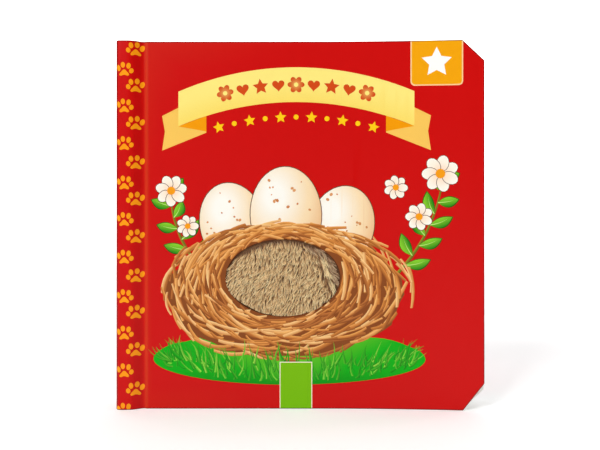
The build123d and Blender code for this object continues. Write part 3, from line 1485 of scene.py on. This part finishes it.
def fromParting(x, z):
    # how far a tuft is to the right of the parting; far to its left where there is none
    for (x0, z0), (x1, z1) in zip(nap["parting"], nap["parting"][1:]):
        if z0 <= z < z1:
            return x - x0 - (x1 - x0) * (z - z0) / (z1 - z0)
    return nap["noParting"]


def fromLine(x, z, start, end):
    # distance to a crease, and the side: positive to its right, looking along it
    dx, dz = end[0] - start[0], end[1] - start[1]
    length = math.hypot(dx, dz)
    along = max(0.0, min(1.0, ((x - start[0]) * dx + (z - start[1]) * dz) / length ** 2))
    reach = math.hypot(x - start[0] - dx * along, z - start[1] - dz * along)
    return reach, ((x - start[0]) * dz - (z - start[1]) * dx) / length


def rimGap(angle):
    gap = nap["leastGap"]
    for middle, spread, extra in nap["rimGaps"]:
        aside = abs((angle - middle + math.pi) % (2 * math.pi) - math.pi)
        gap += extra * max(0.0, 1 - aside / spread)
    return gap


def napDirection(x, z, aside, upper):
    # x and z run from -1 to 1 over the oval; the angle is that of the way the pile leans
    if aside > -0.4:
        inRoll = aside < nap["rollWidth"] and not upper
        return math.radians(nap["rollAngle" if inRoll else "beyondAngle"])
    angle = math.radians(nap["angle"])
    angle += math.radians(22) * max(0.0, z) ** 1.2 * (1 if abs(x) < 0.6 else 0.7)
    angle += math.radians(26) * max(0.0, -z - 0.3)
    angle -= math.radians(24) * max(0.0, -x - 0.1) * (1 - 0.6 * abs(z))
    angle += 0.22 * math.sin(7.3 * x + 1.1) * math.cos(5.1 * z + 0.4)
    return angle


def tuftTonesAndPaintedLight(x, z, reach, aside, upper, toneAndHighlight):
    # root, body and tip of a tuft, with its own random tone; painted shade darkens it near the rim,
    # left of the parting, beyond the roll and in the creases, and a painted highlight lightens the
    # roll and the right of each crease
    root, body, tip = (furColours[key] for key in ("root", "body", "tip"))
    paintedShadow = 0.6 * max(0.0, (reach - 0.88) / 0.12)
    if z < -0.4 and abs(x) < 0.6:
        paintedShadow *= 0.3
    if -1.1 < aside < 0:
        paintedShadow = 1.1
    if aside >= (0 if upper else nap["rollWidth"]):
        body, tip = mixed(body, furColours["grey"], 0.75), mixed(tip, furColours["grey"], 0.5)
        paintedShadow = max(paintedShadow, 0.5)
    elif aside >= 0:
        toneAndHighlight = abs(toneAndHighlight) + 0.2
    for start, end, width in nap["creases"]:
        distance, side = fromLine(x * window["across"], z * window["up"], start, end)
        if distance < width:
            paintedShadow = max(paintedShadow, 1.2 * (1 - distance / width) + 0.4)
        elif distance < 2.4 * width and side > 0:
            toneAndHighlight += 0.12
    body = mixed(body, root, 0.38 * paintedShadow + max(0.0, -toneAndHighlight))
    body = mixed(body, tip, max(0.0, toneAndHighlight))
    return root, body, mixed(tip, body, max(0.0, -toneAndHighlight) * 1.6 + 0.5 * paintedShadow)


def insideRim(point, rise):
    # keeps a strand out of the board round the window
    cx, cz = window["centre"]
    dx, dz = point[0] - cx, point[1] - cz
    reach = math.hypot(dx / window["across"], dz / window["up"])
    over = plush["rimOverlap"] if rise > 0.25 else 0.0
    most = 1.0 + (over - rimGap(math.atan2(dz, dx))) / window["up"]
    if reach <= most:
        return point
    return (cx + dx * most / reach, cz + dz * most / reach)


def addStrand(points, faces, tones, root, angle, length, halfWidth, lift, tipShift, shades):
    # a bent three-sided spike
    steps, sides = len(plush["widths"]), 3
    first = len(points)
    along, across = directions(angle)
    for step in range(steps):
        share = step / (steps - 1)
        aside = tipShift * share ** 1.4
        place = (
            root[0] + along[0] * length * share + across[0] * aside,
            root[1] + along[1] * length * share + across[1] * aside,
        )
        arch = math.sin(math.pi * min(0.62, 0.15 + 0.5 * share))
        rise = -plush["rootDepth"] + lift * arch * 1.02 + 0.25 * share
        place = insideRim(place, rise)
        width = halfWidth * plush["widths"][step]
        tone = mixed(mixed(shades[0], shades[1], 2.2 * share), shades[2], 1.7 * share - 0.7)
        for side in range(sides):
            turn = 2 * math.pi * side / sides + 0.5
            sideways, outwards = width * math.cos(turn), width * math.sin(turn)
            x, z = place[0] + across[0] * sideways, place[1] + across[1] * sideways
            points.append((x * mm, (coverFace(x) - rise - outwards) * mm, z * mm))
            tones.append(tone)
    for step in range(steps - 1):
        for side in range(sides):
            a, b = first + step * sides + side, first + step * sides + (side + 1) % sides
            faces.append((a, b, b + sides, a + sides))
    faces.append(tuple(first + side for side in reversed(range(sides))))
    last = first + (steps - 1) * sides
    faces.append(tuple(last + side for side in range(sides)))


def tuftPlaces(rng):
    # a jittered grid over the window
    spacing, jitter = plush["spacing"], plush["jitter"]
    places = []
    z = -window["up"]
    while z < window["up"]:
        x = -window["across"]
        while x < window["across"]:
            shifted = x + rng.uniform(-jitter, jitter) * spacing
            places.append((shifted, z + rng.uniform(-jitter, jitter) * spacing))
            x += spacing
        z += spacing
    return places


def inCrease(x, z):
    return any(
        fromLine(x, z, start, end)[0] < 0.5 * width for start, end, width in nap["creases"]
    )


def makePile():
    rng = random.Random(29)
    cx, cz = window["centre"]
    breakLow, breakHigh = nap["rollBreak"]
    points, faces, tones = [], [], []
    for dx, dz in tuftPlaces(rng):
        across, up = dx / window["across"], dz / window["up"]
        reach = math.hypot(across, up)
        if reach > (0.99 if up > 0.3 else 0.965) - rimGap(math.atan2(dz, dx)) / window["up"]:
            continue
        if inCrease(dx, dz) and rng.random() < nap["creaseBare"]:
            continue
        aside, upper = fromParting(dx, dz), dz > nap["upperParting"]
        inRoll = 0 <= aside < nap["rollWidth"] and not upper
        lean = napDirection(across, up, aside, upper)
        lean += rng.gauss(0, nap["rollLean"] if inRoll else plush["lean"])
        length = rng.uniform(*plush["length"]) * (nap["rollLength"] if inRoll else 1)
        if inRoll and breakLow < dz < breakHigh:
            length *= 0.5
        toneAndHighlight = rng.gauss(0, plush["brightness"])
        shades = tuftTonesAndPaintedLight(across, up, reach, aside, upper, toneAndHighlight)
        crown = 1 - plush["crownDrop"] * max(0.0, reach - 0.7) / 0.3
        for _ in range(plush["strands"]):
            angle = rng.uniform(0, 2 * math.pi)
            spread = rng.uniform(0.1, 0.5)
            root = (cx + dx + spread * math.cos(angle), cz + dz + spread * math.sin(angle))
            off = (root[1] - cz - dz) * math.cos(lean) - (root[0] - cx - dx) * math.sin(lean)
            angle = lean + rng.gauss(0, 0.05)
            reached = length * rng.uniform(0.85, 1.1)
            halfWidth = plush["halfWidth"] * rng.uniform(0.8, 1.2)
            lift = (plush["rootDepth"] + plush["proud"]) * crown * rng.uniform(0.85, 1.05)
            tipShift = -off * plush["gather"] * 2 + rng.gauss(0, plush["stray"])
            addStrand(
                points, faces, tones, root, angle, reached, halfWidth, lift, tipShift, shades,
            )
    mesh = bpy.data.meshes.new("plush_pile")
    mesh.from_pydata(points, [], faces)
    mesh.polygons.foreach_set("use_smooth", [True] * len(faces))
    colour = mesh.color_attributes.new("pileTone", "FLOAT_COLOR", "POINT")
    colour.data.foreach_set("color", [channel for tone in tones for channel in (*tone, 1.0)])
    mesh.update()
    return linked("plush_pile", mesh)


def pileMaterial():
    material, nodes, links, shader = newMaterial(
        "plush_fibre", Roughness=0.7, Sheen_Weight=0.35, Sheen_Roughness=0.5,
        Specular_IOR_Level=0.25,
    )
    tone = nodes.new("ShaderNodeVertexColor")
    tone.layer_name = "pileTone"
    place = nodes.new("ShaderNodeTexCoord")
    colour = varied(
        nodes, links, tone.outputs["Color"], place.outputs["Object"], scale=500.0, low=0.82,
        high=1.18,
    )
    links.new(colour, shader.inputs["Base Color"])
    return material


def backingMaterial():
    # knitted ground, dark brown as painted shade under the pile
    material, nodes, links, shader = newMaterial("knitted_ground", Roughness=0.95, Sheen_Weight=0.3)
    place = nodes.new("ShaderNodeTexCoord")
    knit = addNode(nodes, "ShaderNodeTexVoronoi", Scale=1600.0)
    links.new(place.outputs["Object"], knit.inputs["Vector"])
    colour = colourRamp(nodes, links, knit.outputs["Distance"], furColours["ground"])
    links.new(colour, shader.inputs["Base Color"])
    bumpFrom(nodes, links, shader, knit.outputs["Distance"], strength=0.6, distance=0.0002)
    return material


backing = makeBacking()
backing.data.materials.append(backingMaterial())
pile = makePile()
pile.data.materials.append(pileMaterial())
for piece in (backing, pile):
    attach(piece, "front_cover")
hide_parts("plush_patch")
print("plush made", len(pile.data.polygons), "faces")


# Floor, light and camera

studio = {
    "floorSize": (12.0, 8.0),  # metres, as are the lamps' places
    "floorPlace": (0, -2.9, -0.0002),
    "floorBack": 0.9,  # the edge behind this is drawn on and up into a wall
    "cove": ((0.3, 0.03), (0.25, 0.12), (0.15, 0.25), (0.06, 0.5), (0.0, 2.5)),
    "floorColours": ((0.8514, 0.8514, 0.8514), (0.86, 0.86, 0.86)),
    "floorGlow": (0.3, 1.0),  # round the book, and far from it
    "glowReach": (0.3, 2.2),
    "worldLight": 0.06,  # as a light
    "worldSeen": 1.0,  # behind the floor, where the camera sees past it
    # place, what it is turned to, size and power of each lamp
    "lamps": {
        "key_softbox": ((-1.9, -2.6, 2.3), (0, 0, 0.08), (1.3, 1.3), 95.0),
        "side_softbox": ((2.2, 0.9, 0.9), (0, 0, 0.08), (0.8, 0.8), 10.0),
        "top_softbox": ((0, 0.05, 1.5), (0, 0.05, 0), (1.2, 1.2), 8.5),
        "backdrop_softbox": ((0, 0.6, 1.3), (0, 1.8, 0.2), (2.4, 0.8), 5.0),
    },
    "cameraDistance": 330.0,  # millimetres, from the cover's face
    "frameWidth": 287.6,  # seen at that face
    "sensor": 36.0,
    "lookAt": (0.25, 88.05),
}


def floorMaterial():
    material, nodes, links, shader = newMaterial("pale_paper", Roughness=0.9)
    place = nodes.new("ShaderNodeTexCoord")
    noise = addNode(nodes, "ShaderNodeTexNoise", Scale=6.0, Detail=2.0)
    links.new(place.outputs["Object"], noise.inputs["Vector"])
    colour = colourRamp(nodes, links, noise.outputs["Fac"], studio["floorColours"])
    links.new(colour, shader.inputs["Base Color"])
    # far from the book, where the lamps don't reach, the camera sees the paper glow
    near, far = studio["floorGlow"]
    ray = nodes.new("ShaderNodeLightPath")
    farGlow = addNode(nodes, "ShaderNodeMapRange", To_Min=near, To_Max=far)
    links.new(ray.outputs["Is Camera Ray"], farGlow.inputs["Value"])
    reach = addNode(nodes, "ShaderNodeVectorMath")
    reach.operation = "LENGTH"
    links.new(place.outputs["Object"], reach.inputs[0])
    start, end = studio["glowReach"]
    glow = addNode(nodes, "ShaderNodeMapRange", From_Min=start, From_Max=end, To_Min=near)
    glow.interpolation_type = "SMOOTHSTEP"
    links.new(farGlow.outputs["Result"], glow.inputs["To Max"])
    links.new(reach.outputs["Value"], glow.inputs["Value"])
    links.new(glow.outputs["Result"], shader.inputs["Emission Strength"])
    shader.inputs["Emission Color"].default_value = (1, 1, 1, 1)
    return material


def makeFloor():
    bpy.ops.object.select_all(action="DESELECT")
    bpy.ops.mesh.primitive_plane_add(size=1)
    floor = bpy.context.object
    floor.name = "studio_floor"
    floor.scale = (*studio["floorSize"], 1)
    floor.location = studio["floorPlace"]
    bpy.ops.object.transform_apply(location=True, rotation=True, scale=True)
    bpy.ops.object.mode_set(mode="EDIT")
    bpy.ops.mesh.select_mode(type="EDGE")
    bpy.ops.mesh.select_all(action="DESELECT")
    form = bmesh.from_edit_mesh(floor.data)
    for edge in form.edges:
        edge.select_set(all(vertex.co.y > studio["floorBack"] for vertex in edge.verts))
    bmesh.update_edit_mesh(floor.data)
    for back, up in studio["cove"]:
        bpy.ops.mesh.extrude_region_move(TRANSFORM_OT_translate={"value": (0, back, up)})
    bpy.ops.object.mode_set(mode="OBJECT")
    bpy.ops.object.shade_smooth()
    floor.data.materials.append(floorMaterial())


def makeWorld():
    world = bpy.data.worlds.new("soft_room")
    world.use_nodes = True
    nodes, links = world.node_tree.nodes, world.node_tree.links
    background = nodes["Background"]
    background.inputs["Color"].default_value = (1, 1, 1, 1)
    ray = nodes.new("ShaderNodeLightPath")
    strength = addNode(
        nodes, "ShaderNodeMapRange", To_Min=studio["worldLight"], To_Max=studio["worldSeen"],
    )
    links.new(ray.outputs["Is Camera Ray"], strength.inputs["Value"])
    links.new(strength.outputs["Result"], background.inputs["Strength"])
    bpy.context.scene.world = world


def addSoftbox(name, place, target, size, power):
    light = bpy.data.lights.new(name, "AREA")
    light.shape = "RECTANGLE"
    light.size, light.size_y = size
    light.energy = power
    lamp = linked(name, light)
    lamp.location = place
    lamp.rotation_euler = (Vector(target) - Vector(place)).to_track_quat("-Z", "Y").to_euler()


def makeCamera():
    camera = bpy.data.cameras.new("front_camera")
    camera.sensor_width = studio["sensor"]
    camera.lens = studio["sensor"] * studio["cameraDistance"] / studio["frameWidth"]
    camera.clip_start, camera.clip_end = 0.01, 20.0
    viewer = linked("front_camera", camera)
    lookX, lookZ = studio["lookAt"]
    outward = Vector((-fanSlope, -1, 0)).normalized()  # square to the cover, which leans a little
    target = Vector((lookX, -sheetLevel(lookX, boardOuter, coverFan, 0), lookZ)) * mm
    viewer.location = target + outward * studio["cameraDistance"] * mm
    viewer.rotation_euler = (-outward).to_track_quat("-Z", "Y").to_euler()
    bpy.context.scene.camera = viewer


makeFloor()
makeWorld()
for name, (place, target, size, power) in studio["lamps"].items():
    addSoftbox(name, place, target, size, power)
makeCamera()
bpy.context.scene.view_settings.view_transform = "Standard"
print("studio made")
